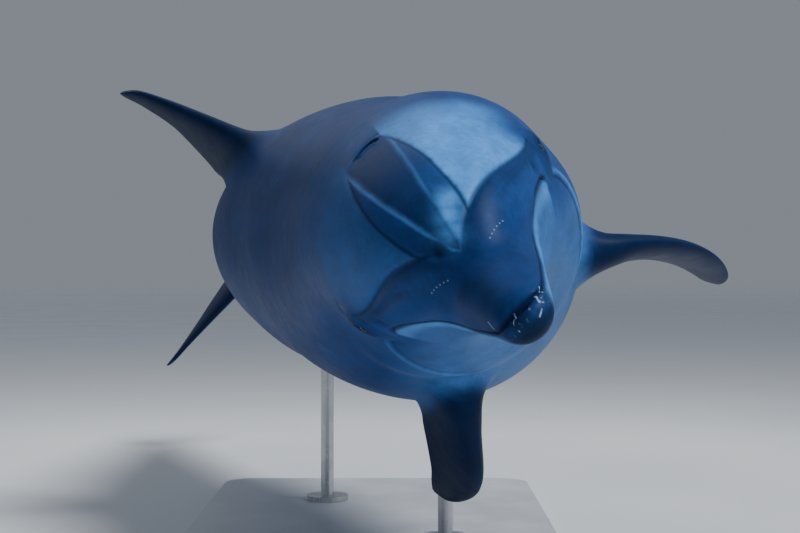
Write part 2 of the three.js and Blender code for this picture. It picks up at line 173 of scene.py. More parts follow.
def curve(points):
    """Smooth curve through [x, y] points that never overshoots them, for numbers or arrays."""
    x, y = np.array(points, float).T
    steps = np.diff(x)
    rises = np.diff(y) / steps
    slopes = np.zeros_like(x)
    slopes[0], slopes[-1] = rises[0], rises[-1]
    before = 2 * steps[1:] + steps[:-1]
    after = steps[1:] + 2 * steps[:-1]
    same_way = rises[:-1] * rises[1:] > 0
    safe = np.where(same_way[:, None], np.stack([rises[:-1], rises[1:]], 1), 1)
    slopes[1:-1] = np.where(same_way, (before + after) / (before / safe[:, 0] + after / safe[:, 1]), 0)

    def at(value):
        value = np.asarray(value, float)
        i = np.clip(np.searchsorted(x, value, side="right") - 1, 0, len(steps) - 1)
        t = np.clip((value - x[i]) / steps[i], 0, 1)
        u = 1 - t
        start = (1 + 2 * t) * u * u * y[i] + t * u * u * steps[i] * slopes[i]
        end = t * t * (3 - 2 * t) * y[i + 1] - t * t * u * steps[i] * slopes[i + 1]
        return start + end

    return at


def column(table, index):
    return curve([[row[0], row[index]] for row in table])


trunk_back, trunk_belly, trunk_half, trunk_level = (column(TRUNK, k) for k in (1, 2, 3, 4))
beak_top, beak_bottom, beak_half = (column(BEAK, k) for k in (1, 2, 3))
axis_level = curve(AXIS)
mouth_level = curve(MOUTH)


def smooth(low, high, value):
    """0 below low, 1 above high and a smooth rise between them."""
    t = np.clip((value - low) / (high - low), 0, 1)
    return t * t * (3 - 2 * t)


def bump(value, centre, width):
    """A round bump of height 1 at the centre that dies away over the width."""
    return np.exp(-(((value - centre) / width) ** 2))


def reach(sideways, upward, drop, half, height):
    """Distance from the axis point to an ellipse of that half width and half height."""
    a = (sideways / half) ** 2 + (upward / height) ** 2
    b = 2 * drop * upward / height ** 2
    c = (drop / height) ** 2 - 1
    inside = b * b - 4 * a * c
    return np.where(inside > 0, (np.sqrt(np.maximum(inside, 0)) - b) / (2 * a), 0)


def trunk_reach(station, sideways, upward):
    level = trunk_level(station)
    drop = axis_level(station) - level
    half = trunk_half(station)
    above = reach(sideways, upward, drop, half, trunk_back(station) - level)
    below = reach(sideways, upward, drop, half, level - trunk_belly(station))
    return np.where(drop + above * upward >= 0, above, below)


def beak_reach(station, sideways, upward):
    middle = (beak_top(station) + beak_bottom(station)) / 2
    height = (beak_top(station) - beak_bottom(station)) / 2
    return reach(sideways, upward, axis_level(station) - middle, beak_half(station), height)


def skin_reach(station, angle):
    """Distance of the skin from the axis; angle 0 is the back and a quarter turn is the left side."""
    sideways, upward = np.sin(angle), np.cos(angle)
    trunk = trunk_reach(np.maximum(station, FOREHEAD_START), sideways, upward)
    beak = beak_reach(np.minimum(station, BEAK_END), sideways, upward)
    blend = 22 + 36 * np.clip((station - 200) / 300, 0, 1)
    closeness = np.maximum(blend - np.abs(trunk - beak), 0) / blend
    both = np.maximum(trunk, beak) + closeness * closeness * blend / 4 * smooth(BEAK_END, 520, station)
    return np.where(station < FOREHEAD_START, beak, np.where(station > BEAK_END, trunk, both))


# Directions of the spine at a station, in the frame of the chest, and its points every SPINE_STEP.
spine_pitch = column(SPINE, 1)
spine_yaw = column(SPINE, 2)


def spine_directions(station):
    pitch = np.radians(spine_pitch(station))
    yaw = np.radians(spine_yaw(station))
    forward = np.stack([np.cos(yaw) * np.cos(pitch), np.sin(yaw) * np.cos(pitch), np.sin(pitch)], -1)
    left = np.stack([-np.sin(yaw), np.cos(yaw), np.zeros_like(yaw)], -1)
    return forward, left, np.cross(forward, left)


def spine_points():
    middles = np.arange(0, SPINE[-1][0], SPINE_STEP) + SPINE_STEP / 2
    steps = -SPINE_STEP * spine_directions(middles)[0]
    points = np.vstack([np.zeros(3), np.cumsum(steps, 0)])
    return points - points[HOLD_STATION // SPINE_STEP]


SPINE_LINE = spine_points()


def chest_frame():
    """Directions of the chest in the frame of the stand: forward, left and up as rows."""
    heading, down, bank = (math.radians(v) for v in (HEADING, NOSE_DOWN, BANK))
    forward = np.array([
        math.sin(heading) * math.cos(down),
        -math.cos(heading) * math.cos(down),
        -math.sin(down),
    ])
    flat = np.cross([0, 0, 1], forward)
    flat /= np.linalg.norm(flat)
    left = flat * math.cos(bank) + np.cross(forward, flat) * math.sin(bank)
    return np.stack([forward, left, np.cross(forward, left)])


CHEST = chest_frame()


def place(points):
    """Points (station, left, level) of the straight body, in metres where they lie in the banked one."""
    station = points[:, 0]
    along = np.clip(station / SPINE_STEP, 0, len(SPINE_LINE) - 1.001)
    index = along.astype(int)
    share = (along - index)[:, None]
    forward, left, up = spine_directions(station)
    spine = SPINE_LINE[index] * (1 - share) + SPINE_LINE[index + 1] * share
    spine = spine - forward * (station - along * SPINE_STEP)[:, None]
    bent = spine + left * points[:, 1:2] + up * points[:, 2:3]
    return bent * MM @ CHEST + np.array(HOLD_POINT)


def surface(station, angle, out=0.0):
    """Points of the straight skin, a distance outward from it."""
    distance = skin_reach(station, angle) + out
    return np.stack([station, distance * np.sin(angle), axis_level(station) + distance * np.cos(angle)], -1)


def round_angle(points):
    return np.arctan2(points[:, 1], points[:, 2] - axis_level(points[:, 0]))


def height_over_skin(points):
    """How far points of the straight body stand out of its bare skin, measured from the axis."""
    distance = np.hypot(points[:, 1], points[:, 2] - axis_level(points[:, 0]))
    return distance - skin_reach(points[:, 0], round_angle(points))


def vertex_array(bm):
    return np.array([v.co for v in bm.verts], float)


def move_vertices(bm, points):
    for vertex, point in zip(bm.verts, points):
        vertex.co = point


def unit_sphere(sides, rings):
    """A round ball of quads, with each vertex's ring and its turn about the axis."""
    bm = bmesh.new()
    bmesh.ops.create_uvsphere(bm, u_segments=sides, v_segments=rings, radius=1)
    points = vertex_array(bm)
    ring = np.round(np.arccos(np.clip(-points[:, 2], -1, 1)) / math.pi * rings)
    turn = np.arctan2(points[:, 1], points[:, 0])
    return bm, ring, turn


def mouth_angles(station):
    """Angle from the back at which the skin crosses the mouth line, found by halving."""
    low = np.full_like(station, math.radians(32))
    high = np.full_like(station, math.radians(150))
    for _ in range(24):
        middle = (low + high) / 2
        above = surface(station, middle)[:, 2] > mouth_level(station)
        low = np.where(above, middle, low)
        high = np.where(above, high, middle)
    return (low + high) / 2


def close_to_one(share, closeness):
    """Moves shares from 0 to 1 so that they crowd near 1, closely where closeness is small."""
    left_over = 1 - share
    return 1 - left_over * (closeness + (1 - closeness) * left_over)


def body_mesh():
    """The straight body without its fins, its rows of faces running along the mouth line."""
    bm, ring, turn = unit_sphere(2 * SIDE_ROWS, RINGS)
    station = curve(RING_PLACES)(ring / RINGS)
    row = np.abs(turn) / math.pi * SIDE_ROWS
    mouth = mouth_angles(station)
    closeness = 0.22 + 0.78 * smooth(420, 620, station)
    fade = smooth(420, 700, station)
    even = mouth * (1 - fade) + math.pi * ROWS_ABOVE_MOUTH / SIDE_ROWS * fade
    above = even * close_to_one(np.clip(row / ROWS_ABOVE_MOUTH, 0, 1), closeness)
    below_share = np.clip((SIDE_ROWS - row) / (SIDE_ROWS - ROWS_ABOVE_MOUTH), 0, 1)
    below = math.pi - (math.pi - even) * close_to_one(below_share, closeness)
    angle = np.where(row <= ROWS_ABOVE_MOUTH, above, below) * np.sign(turn)
    points = surface(station, angle)
    for end, at in ((0, 0.0), (RINGS, float(TAIL_END))):
        points[ring == end] = (at, 0, axis_level(at))
    move_vertices(bm, points)
    for side in (1, -1):
        refine(bm, (EYE_STATION, side * 150, EYE_LEVEL), (34, 22))
    refine(bm, (BLOWHOLE[0], BLOWHOLE[1], 134), (36, 30))
    refine_rows(bm, MELON_STATIONS, MELON_ANGLE)
    refine_line(bm, MELON_CREASE, 9)
    refine_line(bm, THROAT_CREASE, 9)
    bmesh.ops.recalc_face_normals(bm, faces=bm.faces)
    return bm


def refine(bm, centre, radii):
    """Divides the edges near a point, once for each radius, and puts new vertices back on the skin."""
    for radius in radii:
        near = {v for v in bm.verts if (v.co - Vector(centre)).length < radius}
        edges = [e for e in bm.edges if e.verts[0] in near and e.verts[1] in near]
        bmesh.ops.subdivide_edges(bm, edges=edges, cuts=1, use_grid_fill=True)
        for vertex in bm.verts:
            if (vertex.co - Vector(centre)).length < radius:
                point = np.array([vertex.co], float)
                vertex.co = surface(point[:, 0], round_angle(point))[0]


def refine_rows(bm, stations, widest):
    """Divides the edges that run round the body over the melon, where the rows lie far apart."""
    bm.verts.index_update()
    points = vertex_array(bm)
    angle = np.degrees(np.abs(round_angle(points)))
    chosen = (points[:, 0] > stations[0]) & (points[:, 0] < stations[1]) & (angle < widest)
    edges = []
    for edge in bm.edges:
        a, b = edge.verts
        if chosen[a.index] and chosen[b.index] and abs(a.co.x - b.co.x) < 0.01:
            edges.append(edge)
    made = bmesh.ops.subdivide_edges(bm, edges=edges, cuts=1, use_grid_fill=True)
    back_on_skin(made["geom_inner"])


def back_on_skin(elements):
    for vertex in elements:
        if isinstance(vertex, bmesh.types.BMVert):
            point = np.array([vertex.co], float)
            vertex.co = surface(point[:, 0], round_angle(point))[0]


def refine_line(bm, line, width):
    """Divides the edges that lie within a distance of a line on both sides of the head, once."""
    bm.verts.index_update()
    close = distance_to(on_left(vertex_array(bm)), line)[0] < width
    edges = [e for e in bm.edges if close[e.verts[0].index] and close[e.verts[1].index]]
    made = bmesh.ops.subdivide_edges(bm, edges=edges, cuts=1, use_grid_fill=True)
    back_on_skin(made["geom_inner"])


def foil(share):
    """Half thickness of a fin's section, for a share of its chord, where the greatest is 0.5."""
    root = 1.4845 * np.sqrt(share)
    return root - 0.63 * share - 1.758 * share ** 2 + 1.4215 * share ** 3 - 0.518 * share ** 4


def fin_directions(angles, share):
    """Directions of a fin at a share of its span: along the span, along the chord and through it."""
    droop, sweep, twist = (math.radians(root + change * share) for root, change in angles)
    span = np.array([math.sin(sweep), math.cos(sweep) * math.cos(droop), -math.cos(sweep) * math.sin(droop)])
    flat = np.array([math.cos(sweep), -math.sin(sweep) * math.cos(droop), math.sin(sweep) * math.sin(droop)])
    through = np.array([0, math.sin(droop), math.cos(droop)])
    chord = flat * math.cos(twist) + through * math.sin(twist)
    normal = through * math.cos(twist) - flat * math.sin(twist)
    return span, chord, normal


def fillet(height, radius):
    """How much a fin thickens at a height over the skin, so that it flows into the body."""
    left_over = 1 - (np.clip(height, -0.05 * radius, 0.9 * radius) + 0.1 * radius) / radius
    return radius * (1 - np.sqrt(1 - left_over ** 2))


def set_height(points, height):
    """Moves points of the straight body out from its axis or in, to stand at that height over the skin."""
    return surface(points[:, 0], round_angle(points), height)


def fin_mesh(shape, root, side, droop, sweep, twist, fillets):
    """One fin of the straight body, rounded at its tip and flared where it meets the body."""
    bm, ring, turn = unit_sphere(FIN_SIDES, FIN_RINGS)
    front, rear, thick = (curve(shape[name]) for name in ("front", "rear", "thick"))
    shares = 1 - (1 - np.arange(FIN_RINGS + 1) / FIN_RINGS) ** 1.5
    base = np.array(root, float)
    points = np.zeros((len(ring), 3))
    before = 0.0
    for i, share in enumerate(shares):
        span = fin_directions((droop, sweep, twist), (share + before) / 2)[0]
        base = base + span * shape["span"] * (share - before)
        before = share
        _, chord, normal = fin_directions((droop, sweep, twist), share)
        chosen = ring == i
        behind = (1 - np.cos(turn[chosen])) / 2
        start, end = front(share), rear(share)
        rounded = max(1 - max((share - TIP_START) / (1 - TIP_START), 0) ** TIP_POWER, 0) ** (1 / TIP_POWER)
        length = (end - start) * (rounded if i else 0)
        start = (start + end - length) / 2
        off = np.sign(np.sin(turn[chosen])) * foil(behind) * thick(share)
        off = off * math.sqrt(rounded) * (1 if i else 0)
        off = np.where((behind < 1e-6) | (behind > 1 - 1e-6), 0, off)
        edge = chord * (-np.cos(turn[chosen]))[:, None]
        face = normal * np.sign(off)[:, None]
        outward = edge * (np.abs(np.cos(turn[chosen])) ** 4)[:, None] + face
        outward /= np.maximum(np.linalg.norm(outward, axis=1), 1e-6)[:, None]
        spot = base + chord * (start + length * behind)[:, None] + normal * off[:, None]
        height = height_over_skin(spot)
        radius = fillets[0] + (fillets[1] - fillets[0]) * behind
        flared = spot + outward * fillet(height, radius)[:, None]
        near = smooth(0.95 * radius, 0.3 * radius, height)[:, None]
        points[chosen] = flared * (1 - near) + set_height(flared, height) * near
    points[:, 1] *= side
    move_vertices(bm, points)
    bmesh.ops.recalc_face_normals(bm, faces=bm.faces)
    return bm


def new_object(name, bm):
    mesh = bpy.data.meshes.new(name)
    bm.to_mesh(mesh)
    bm.free()
    piece = bpy.data.objects.new(name, mesh)
    bpy.context.scene.collection.objects.link(piece)
    return piece


def joined_body():
    """The straight body and its five fins joined into one mesh."""
    body = new_object("skin", body_mesh())
    for k, fin in enumerate(FINS):
        cutter = new_object("fin_%d" % k, fin_mesh(*fin))
        union = body.modifiers.new("union", "BOOLEAN")
        union.operation = "UNION"
        union.solver = "MANIFOLD"
        union.object = cutter
        mesh = bpy.data.meshes.new_from_object(body.evaluated_get(bpy.context.evaluated_depsgraph_get()))
        body.modifiers.clear()
        body.data = mesh
        bpy.data.objects.remove(cutter)
    bm = bmesh.new()
    bm.from_mesh(body.data)
    bpy.data.objects.remove(body)
    return bm


# Fins leave the body behind this station, and their edges cross the skin at this height over it.
FIRST_FIN = 540
ROOT_LINE = 0.4


def soften_roots(bm):
    """Smooths the lines where the fins leave the body."""
    bmesh.ops.triangulate(bm, faces=[f for f in bm.faces if len(f.verts) > 4])
    bmesh.ops.dissolve_degenerate(bm, dist=0.3, edges=bm.edges)
    points = vertex_array(bm)
    out = height_over_skin(points)
    bm.verts.index_update()
    near = set()
    for edge in bm.edges:
        a, b = edge.verts
        heights = (out[a.index], out[b.index])
        if min(a.co.x, b.co.x) > FIRST_FIN and min(heights) < ROOT_LINE < max(heights):
            near.update(edge.verts)
    for reach_out, times in ((3, 6), (2, 6), (1, 4)):
        ring = set(near)
        for _ in range(reach_out):
            ring.update(e.other_vert(v) for v in list(ring) for e in v.link_edges)
        for _ in range(times):
            bmesh.ops.smooth_vert(
                bm, verts=list(ring), factor=0.5, use_axis_x=True, use_axis_y=True, use_axis_z=True,
            )


LINE_POINTS = 12


def row_between(first, last, count):
    """Places evenly spaced from one to another, each a station and degrees from the back."""
    share = np.linspace(0, 1, count)[:, None]
    return np.array(first, float) + (np.array(last, float) - first) * share


def easing_line(first, last, power):
    """Line whose turn eases out to its last value, starting faster for a lower power."""
    share = np.linspace(0, 1, LINE_POINTS) ** 1.5
    station = first[0] + (last[0] - first[0]) * share
    turn = first[1] + (last[1] - first[1]) * np.sin(np.pi / 2 * share ** power)
    return np.column_stack([station, turn])


def steepening_line(first, last):
    """Line that leaves along the body and ends straight across it, as a parabola lying on its side."""
    share = np.linspace(0, 1, LINE_POINTS)
    station = first[0] + (last[0] - first[0]) * (1 - (1 - share) ** 2)
    turn = first[1] + (last[1] - first[1]) * share
    return np.column_stack([station, turn])


# Lines on the head from one end to the other, as station and degrees from the back on the left side; the
# right side mirrors them.
MELON_CREASE = easing_line((121, 0), (330, 86), 0.7)
CHEEK_CREASE = easing_line((160, 62), (293, 87), 1.0)
STRIPE_EDGE = row_between((156, 32), (345, 12), 2)
STRIPE_LINE = easing_line((124, 1), (305, 14), 0.4)
THROAT_CREASE = steepening_line((330, 104), (560, 176))
# How far behind the throat crease its raised rim lies; the rim is painted pale as a highlight.
THROAT_RIM = 10
# The melon's stations and degrees from the back, where the rows of faces are divided once more.
MELON_STATIONS = (118, 352)
MELON_ANGLE = 62

# The notch on the right of the melon's foremost point, cut in and darkened with painted shade: station and
# degrees from the back.
NOTCH = (137, -17)
# Spots of painted highlight on the left of the prow, and the hollow in front of each eye, darkened with
# painted shade, likewise.
PROW_HIGHLIGHTS = row_between((138, 4), (163, 20), 3)
CHEEK_HOLLOW = (283, 93)

# Eye opening: half its length and half its height, and the mound that carries it.
EYE_OPENING = (12.5, 7)
EYE_CORNER = 1.5
EYE_MOUND = 8
MOUND_WIDTH = 25
LID_THICKNESS = 2.2

# Blowhole: station and left of the middle of its crescent, the crescent's radius and half angle.
BLOWHOLE = (345, 6)
BLOWHOLE_RADIUS = 26
BLOWHOLE_TURN = 0.8


def on_left(points):
    """Points folded over to the left side."""
    folded = points.copy()
    folded[:, 1] = np.abs(folded[:, 1])
    return folded


def distance_to(points, line):
    """Distance of points from a line on the skin, and how far along it they are, from 0 to 1."""
    steps = np.arange(len(line))
    fine = np.linspace(0, len(line) - 1, 12 * len(line))
    station = curve(np.column_stack([steps, [p[0] for p in line]]))(fine)
    angle = np.radians(curve(np.column_stack([steps, [p[1] for p in line]]))(fine))
    bends = surface(station, angle)
    lengths = np.linalg.norm(np.diff(bends, axis=0), axis=1)
    reached = np.concatenate([[0], np.cumsum(lengths)])
    best = np.full(len(points), 1e9)
    along = np.zeros(len(points))
    for k, length in enumerate(lengths):
        way = (bends[k + 1] - bends[k]) / length
        offset = points - bends[k]
        travel = np.clip(offset @ way, 0, length)
        distance = np.linalg.norm(offset - travel[:, None] * way, axis=1)
        nearer = distance < best
        best = np.where(nearer, distance, best)
        along = np.where(nearer, (reached[k] + travel) / reached[-1], along)
    return best, along


def eye_distances(points):
    """How far points lie outside the eye opening, their distance from its middle, and back and up from it."""
    back = points[:, 0] - EYE_STATION
    up = points[:, 2] - EYE_LEVEL + 0.08 * back
    length, height = EYE_OPENING
    lid_radius = (length ** 2 + height ** 2) / (2 * height)
    upper = np.hypot(back, up + lid_radius - height) - lid_radius
    lower = np.hypot(back, up - lid_radius + height) - lid_radius
    outside = (upper + lower + np.sqrt((upper - lower) ** 2 + EYE_CORNER ** 2)) / 2
    return outside, np.hypot(back, up / 1.1), back, up


def blowhole_distances(points):
    """Distance behind the blowhole's slit, turn along it, and distance from its middle."""
    back = points[:, 0] - BLOWHOLE[0]
    left = points[:, 1] - BLOWHOLE[1]
    behind = np.hypot(back + BLOWHOLE_RADIUS, left) - BLOWHOLE_RADIUS
    return behind, np.arctan2(left, back + BLOWHOLE_RADIUS), np.hypot(back, left)


def distance_from(points, spot):
    """Distance of points from a place on the skin, given as its station and degrees from the back."""
    return np.linalg.norm(points - on_skin(*spot), axis=1)


def throat_gap(half):
    """Distance behind the throat crease, negative in front of it."""
    angle = np.degrees(np.abs(round_angle(half)))
    line = curve([(turn, station) for station, turn in THROAT_CREASE])(angle)
    return distance_to(half, THROAT_CREASE)[0] * np.where(half[:, 0] > line, 1, -1)


def melon_gaps(half):
    """Distances outward from the edge of the melon's leaf, from the edge of its bands and from its crease."""
    station = half[:, 0]
    angle = np.abs(round_angle(half))
    from_axis = skin_reach(station, angle)
    leaf = (angle - np.radians(curve(STRIPE_LINE)(station))) * from_axis
    band = (angle - np.radians(curve(STRIPE_EDGE)(station))) * from_axis
    below = np.degrees(angle) > curve(MELON_CREASE)(station)
    return leaf, band, distance_to(half, MELON_CREASE)[0] * np.where(below, 1, -1)


def throat_strength(points):
    """How deep the throat crease is: full on the left, shallow on the right and fading towards the belly."""
    angle = np.degrees(round_angle(points))
    return smooth(104, 112, np.abs(angle)) * smooth(176, 150, np.abs(angle)) * np.where(angle > 0, 1, 0.5)


def relief(points):
    """How far the skin stands out or in at points of the straight body, for its folds and slits."""
    half = on_left(points)
    station, level = half[:, 0], half[:, 2]
    angle = np.abs(round_angle(points))
    out = np.zeros(len(points))

    leaf, band, crease = melon_gaps(half)
    along = distance_to(half, MELON_CREASE)[1]
    fade = (0.3 + 0.7 * smooth(0, 0.2, along)) * (1 - 0.6 * smooth(0.5, 1, along))
    out -= 2.0 * fade * bump(crease, 0, 4.5)
    on_melon = smooth(120, 128, station) * smooth(350, 315, station) * smooth(3, -3, crease)
    out += 1.4 * on_melon * (smooth(-3, 3, band) * bump(crease, -12, 22) - smooth(3, -3, leaf))
    out -= 0.9 * on_melon * bump(band, 0, 3)
    cheek, along = distance_to(half, CHEEK_CREASE)
    out -= 1.4 * bump(cheek, 0, 5) * smooth(0, 0.2, along) * smooth(1, 0.7, along)
    throat = throat_gap(half)
    crisp = throat_strength(points)
    out += crisp * (1.7 * bump(throat, THROAT_RIM, 9) - 2.2 * bump(throat, 0, 4))
    out -= 2.6 * bump(distance_from(half, CHEEK_HOLLOW), 0, 11)
    out -= 5.0 * bump(distance_from(points, NOTCH), 0, 9)

    mouth = level - mouth_level(station)
    in_mouth = smooth(MOUTH_CORNER + 4, MOUTH_CORNER - 8, station) * smooth(6, 10, station + np.abs(mouth))
    out += in_mouth * (-3.4 * bump(mouth, 0, 1.6) + 0.5 * bump(mouth, 6, 4) + 0.8 * bump(mouth, -6, 4))

    behind, turn, from_hole = blowhole_distances(points)
    on_top = smooth(60, 90, level)
    slit = smooth(BLOWHOLE_TURN, BLOWHOLE_TURN - 0.3, np.abs(turn))
    out += on_top * (-1.0 * bump(from_hole, 0, 34) - 4.5 * bump(behind, 0, 2.0) * slit)
    out += on_top * slit * (1.5 * bump(behind, 6, 4) + 0.9 * bump(behind, -5, 4) - 0.8 * bump(behind, 14, 3))

    keel = smooth(1700, 2000, station) * smooth(2480, 2400, station)
    out += 7 * keel * (bump(angle, 0, 0.16) + bump(angle, math.pi, 0.16))
    return out


def drawn_to_rim(points):
    """Slides the points beside an eye's opening along the skin, so that a row of them lies on its rim."""
    step = 0.05
    outside = eye_distances(points)[0]
    pull = outside * bump(outside, 0, 0.9) * (np.abs(points[:, 1]) > 100)
    moved = points.copy()
    for axis in (0, 2):
        shifted = points.copy()
        shifted[:, axis] += step
        moved[:, axis] -= pull * (eye_distances(shifted)[0] - outside) / step
    return moved


def eye_relief(points):
    """Moves the skin sideways round the eyes, into mounds, lids that follow the ball, and sockets."""
    moved = drawn_to_rim(points)
    outside, middle, back, up = eye_distances(moved)
    side = np.abs(moved[:, 1])
    near = (middle < 60) & (side > 100)
    turn = np.arctan2(up, back)
    ball = EYE_SIDE + np.sqrt(np.maximum(EYE_RADIUS ** 2 - back ** 2 - up ** 2, 0))
    lid = ball + LID_THICKNESS * (1 - np.exp(-np.maximum(outside, 0) / 0.8))
    folds = 1.1 * bump(outside, 6.5, 1.5) * smooth(-6, 2, up)
    folds = folds + 0.7 * bump(outside, 5.5, 1.4) * smooth(2, -4, up)
    wrinkles = 0.45 * np.sin(1.1 * outside + 2.2 * np.sin(turn + 0.7))
    folds += wrinkles * bump(outside, 12, 5) * (0.4 + 0.6 * np.cos(turn) ** 2)
    mound = side + EYE_MOUND * bump(middle, 0, MOUND_WIDTH) - 2.0 * bump(middle, 36, 6) - folds
    over = smooth(0.2, 5.5, outside)
    shaped = lid * (1 - over) + mound * over
    shaped = np.where(outside < 0.05, ball - 3 * smooth(0.05, -1.2, outside), shaped)
    moved[:, 1] = np.where(near, np.sign(points[:, 1]) * shaped, points[:, 1])
    return moved


def markings(points):
    """Fields for the skin's colours at points of the straight body: strengths from 0 to 1, and the "gaps"
    in millimetres from its lines."""
    half = on_left(points)
    station, level = half[:, 0], half[:, 2]
    upward = np.cos(round_angle(points))
    out = height_over_skin(points)
    leaf, band, crease = melon_gaps(half)
    crease_along = distance_to(half, MELON_CREASE)[1]
    cheek, cheek_along = distance_to(half, CHEEK_CREASE)
    outside, _, back, up = eye_distances(half)
    behind, turn, _ = blowhole_distances(points)
    mouth = level - mouth_level(station)
    on_head = smooth(620, 420, station)
    fin = smooth(6, 30, out) * smooth(560, 600, station)
    fin = np.maximum(fin, smooth(2440, 2500, station))
    side = half[:, 1] > 90
    lips = smooth(MOUTH_CORNER + 4, MOUTH_CORNER - 8, station)
    dark = 0.5 * bump(cheek, 0, 6) * smooth(0, 0.2, cheek_along)
    # Painted shade in the notch on the right of the melon's foremost point, the side away from the key light.
    dark = np.maximum(dark, 0.85 * bump(distance_from(points, NOTCH), 0, 15))
    dark = np.maximum(dark, 0.9 * side * np.exp(-((back / 26) ** 2 + (up / 30) ** 2) ** 1.5))
    # Painted shade in the hollow in front of each eye.
    dark = np.maximum(dark, 0.7 * bump(distance_from(half, CHEEK_HOLLOW), 0, 12))
    below = smooth(-0.35, -0.95, upward)
    below = np.maximum(below, 0.6 * lips * smooth(2, -6, mouth))
    angle = np.degrees(np.abs(round_angle(points)))
    # Painted light: a pale field on the melon's sides, full on the left, which faces the key light, and faint
    # on the shaded right.
    lit_shield = smooth(140, 158, station) * smooth(430, 300, station) * np.where(points[:, 1] > 0, 1, 0.15)
    lit_shield = lit_shield * (1 - smooth(58, 80, angle) * smooth(270, 325, station))
    return {
        "back": smooth(-0.1, 0.8, upward) * (1 - 0.6 * on_head),
        "below": below * (1 - fin),
        "beak": smooth(200, 110, station) * smooth(-8, 6, mouth),
        "beak_tip": smooth(46, 14, station + 0.4 * np.maximum(level + 60, 0)) * smooth(8, -2, mouth),
        "fin": fin,
        "lips": lips,
        "melon": smooth(120, 128, station) * smooth(350, 315, station),
        "lit_shield": lit_shield,
        # Strength of the painted shade in and below the melon's crease, weaker at its foremost point and
        # fading out towards the eye.
        "crease": (0.3 + 0.7 * smooth(0, 0.15, crease_along)) * smooth(345, 322, station),
        "throat": throat_strength(points),
        "blowhole": smooth(60, 90, level) * smooth(1.1, 0.6, np.abs(turn)),
        # Darker along the cheek crease and round the eyes, with painted shade in the notch and the cheek
        # hollows.
        "dark": dark,
        # Painted highlight: pale spots on the left of the prow, the side that faces the key light.
        "pale": np.max([bump(distance_from(points, spot), 0, 15) for spot in PROW_HIGHLIGHTS], axis=0),
        "leaf_gap": leaf,
        "band_gap": band,
        "crease_gap": crease,
        "throat_gap": throat_gap(half),
        "mouth_gap": mouth,
        "blowhole_gap": behind,
        "eye_gap": np.where(side, outside, 99),
    }


def dolphin_skin():
    bm = joined_body()
    soften_roots(bm)
    straight = vertex_array(bm)
    bm.normal_update()
    normals = np.array([v.normal for v in bm.verts], float)
    outward = np.sum(normals * (straight - np.column_stack([
        straight[:, 0], np.zeros(len(straight)), axis_level(straight[:, 0])])), 1)
    if np.mean(outward) < 0:
        normals = -normals
    bare = smooth(4, 1, height_over_skin(straight))
    shaped = straight + normals * (relief(straight) * bare)[:, None]
    shaped = eye_relief(shaped)
    marks = markings(straight)
    move_vertices(bm, place(shaped))
    bmesh.ops.recalc_face_normals(bm, faces=bm.faces)
    skin = new_object("skin", bm)
    for polygon in skin.data.polygons:
        polygon.use_smooth = True
    write_attribute(skin, "straight", straight * MM)
    write_attribute(skin, "half", on_left(straight) * MM)
    for name, strength in marks.items():
        write_attribute(skin, name, strength)
    return skin


def write_attribute(piece, name, values):
    kind = "FLOAT_VECTOR" if values.ndim == 2 else "FLOAT"
    field = "vector" if values.ndim == 2 else "value"
    attribute = piece.data.attributes.new(name, kind, "POINT")
    attribute.data.foreach_set(field, np.ascontiguousarray(values, np.float32).ravel())


